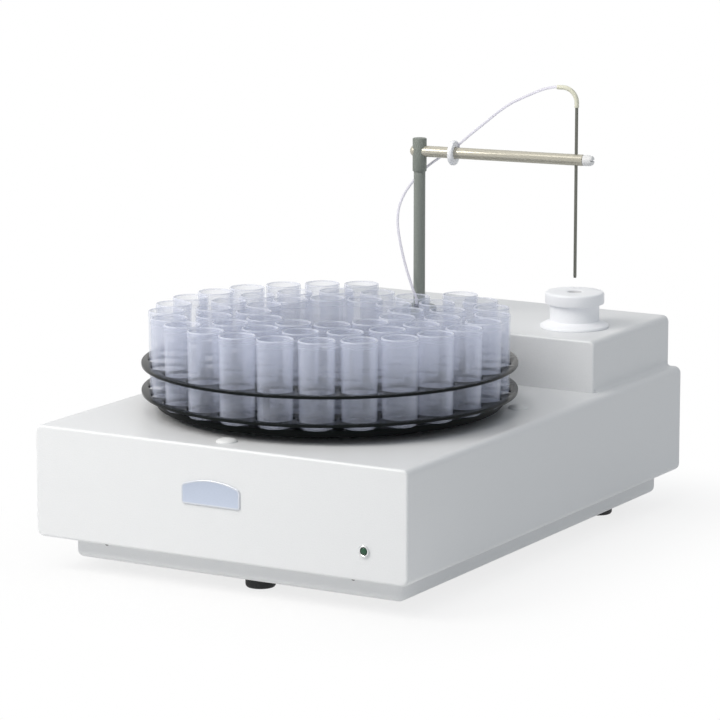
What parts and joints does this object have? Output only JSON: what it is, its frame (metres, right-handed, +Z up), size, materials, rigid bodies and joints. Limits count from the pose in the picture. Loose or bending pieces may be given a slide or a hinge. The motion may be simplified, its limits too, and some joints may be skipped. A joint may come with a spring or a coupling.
{
  "type": "autosampler",
  "caption": "Bench autosampler: white housing with a raised rear block, a turning rack of clear tubes in rings, and an arm that swings and lifts a sampling needle.",
  "frame": {"origin": "on the bench under the centre of the housing's footprint", "axes": "+X to the right along the front, +Y to the back, +Z up"},
  "size_m": [0.3, 0.425, 0.3232],
  "materials": {
    "paint_white": "satin orange-peel paint",
    "foot_rubber": "matt",
    "dark_screw": "blackened",
    "badge_plate": "satin",
    "bezel_chrome": "polished",
    "lens_green": "clear dark green",
    "plug_white": "smooth",
    "plain_steel": "rolled",
    "machined_aluminium": "machined",
    "bush_bronze": "sintered",
    "motor_black": "satin",
    "belt_rubber": "matt",
    "board_green": "solder mask",
    "supply_case": "folded sheet",
    "panel_grey": "fine texture",
    "socket_black": "moulded",
    "socket_steel": "plated",
    "rocker_red": "moulded",
    "barb_white": "moulded",
    "wash_white": "turned, slightly waxy",
    "nylon_white": "moulded",
    "hose_clear": "translucent",
    "disc_black": "glossy sheet",
    "plate_black": "satin",
    "tube_clear": "translucent",
    "column_grey": "ground",
    "head_grey": "matt anodised",
    "arm_champagne": "anodised",
    "needle_steel": "drawn",
    "elbow_silicone": "smooth"
  },
  "bodies": {
    "base": {"cover": "paint_white", "base_pan": "paint_white", "feet": "foot_rubber", "pan_screws": "dark_screw", "name_plate": "badge_plate", "led_bezel": "bezel_chrome", "led_lens": "lens_green", "cover_plugs": "plug_white", "cover_screws": "plain_steel", "deck_plate": "plain_steel", "deck_posts": "plain_steel", "spindle_housing": "machined_aluminium", "spindle_bushes": "bush_bronze", "stepper_motors": "motor_black", "drive_belts": "belt_rubber", "lift_frame": "plain_steel", "turret_bush": "bush_bronze", "control_board": "board_green", "board_posts": "plain_steel", "power_supply": "supply_case", "rear_panel": "panel_grey", "panel_screws": "dark_screw", "mains_inlet": "socket_black", "data_socket": "socket_steel", "switch_bezel": "socket_black", "hose_barbs": "barb_white", "wash_base": "wash_white", "wash_hoses": "hose_clear"},
    "rack": {"spindle": "plain_steel", "spindle_pulley": "machined_aluminium", "rack_plate": "plate_black", "lower_disc": "disc_black", "upper_disc": "disc_black", "rack_spacers": "machined_aluminium", "rack_nut": "plate_black", "outer_tubes": "tube_clear", "middle_tubes": "tube_clear", "inner_tubes": "tube_clear"},
    "turret": {"turret_tube": "head_grey", "turret_pulley": "machined_aluminium", "turret_collar": "head_grey"},
    "arm": {"column": "column_grey", "column_collars": "machined_aluminium", "arm_head": "head_grey", "arm_rod": "arm_champagne", "hose_ring": "wash_white", "needle": "needle_steel", "needle_elbow": "elbow_silicone", "sample_hose": "hose_clear"},
    "rack_pinion": {"drive_pulley": "machined_aluminium"},
    "swing_pinion": {"swing_pulley": "machined_aluminium"},
    "needle_clamp": {"clamp_screw": "nylon_white"},
    "carriage": {"lift_carriage": "machined_aluminium", "lift_nut": "bush_bronze"},
    "screw": {"lift_screw": "plain_steel"},
    "cap": {"wash_cap": "wash_white"},
    "rocker": {"switch_rocker": "rocker_red"}
  },
  "joints": [
    {"name": "rack_turn", "type": "hinge", "parent": "base", "child": "rack", "pos_m": [0, -0.0584, 0.1], "axis": [0, 0, 1], "continuous": true},
    {"name": "rack_motor_turn", "type": "hinge", "parent": "base", "child": "rack_pinion", "pos_m": [0.072, -0.0584, 0.09], "axis": [0, 0, 1], "continuous": true},
    {"name": "arm_swing", "type": "hinge", "parent": "base", "child": "turret", "pos_m": [-0.025, 0.117, 0.12], "axis": [0, 0, 1], "range_deg": [-86, 0]},
    {"name": "swing_motor_turn", "type": "hinge", "parent": "base", "child": "swing_pinion", "pos_m": [0.033, 0.117, 0.12], "axis": [0, 0, 1], "continuous": true},
    {"name": "arm_lift", "type": "slide", "parent": "turret", "child": "arm", "axis": [0, 0, 1], "range_m": [-0.06, 0], "deforming": ["sample_hose"]},
    {"name": "carriage_slide", "type": "slide", "parent": "base", "child": "carriage", "axis": [0, 0, 1], "range_m": [-0.06, 0]},
    {"name": "screw_turn", "type": "hinge", "parent": "base", "child": "screw", "pos_m": [-0.075, 0.117, 0.08], "axis": [0, 0, 1], "continuous": true},
    {"name": "clamp_turn", "type": "hinge", "parent": "arm", "child": "needle_clamp", "pos_m": [0.10612, 0.13217, 0.2683], "axis": [0.9934, 0.1149, 0], "continuous": true},
    {"name": "cap_lift", "type": "slide", "parent": "base", "child": "cap", "axis": [0, 0, 1], "range_m": [0, 0.008]},
    {"name": "switch_tip", "type": "hinge", "parent": "base", "child": "rocker", "pos_m": [0.062, 0.1885, 0.065], "axis": [0, 0, 1], "range_deg": [0, 18]}
  ],
  "couplings": [
    {"joint": "rack_motor_turn", "follows": "rack_turn", "ratio": 3},
    {"joint": "swing_motor_turn", "follows": "arm_swing", "ratio": 2.125},
    {"joint": "carriage_slide", "follows": "arm_lift", "ratio": 1},
    {"joint": "screw_turn", "follows": "arm_lift", "rad_per_m": -785.4}
  ]
}
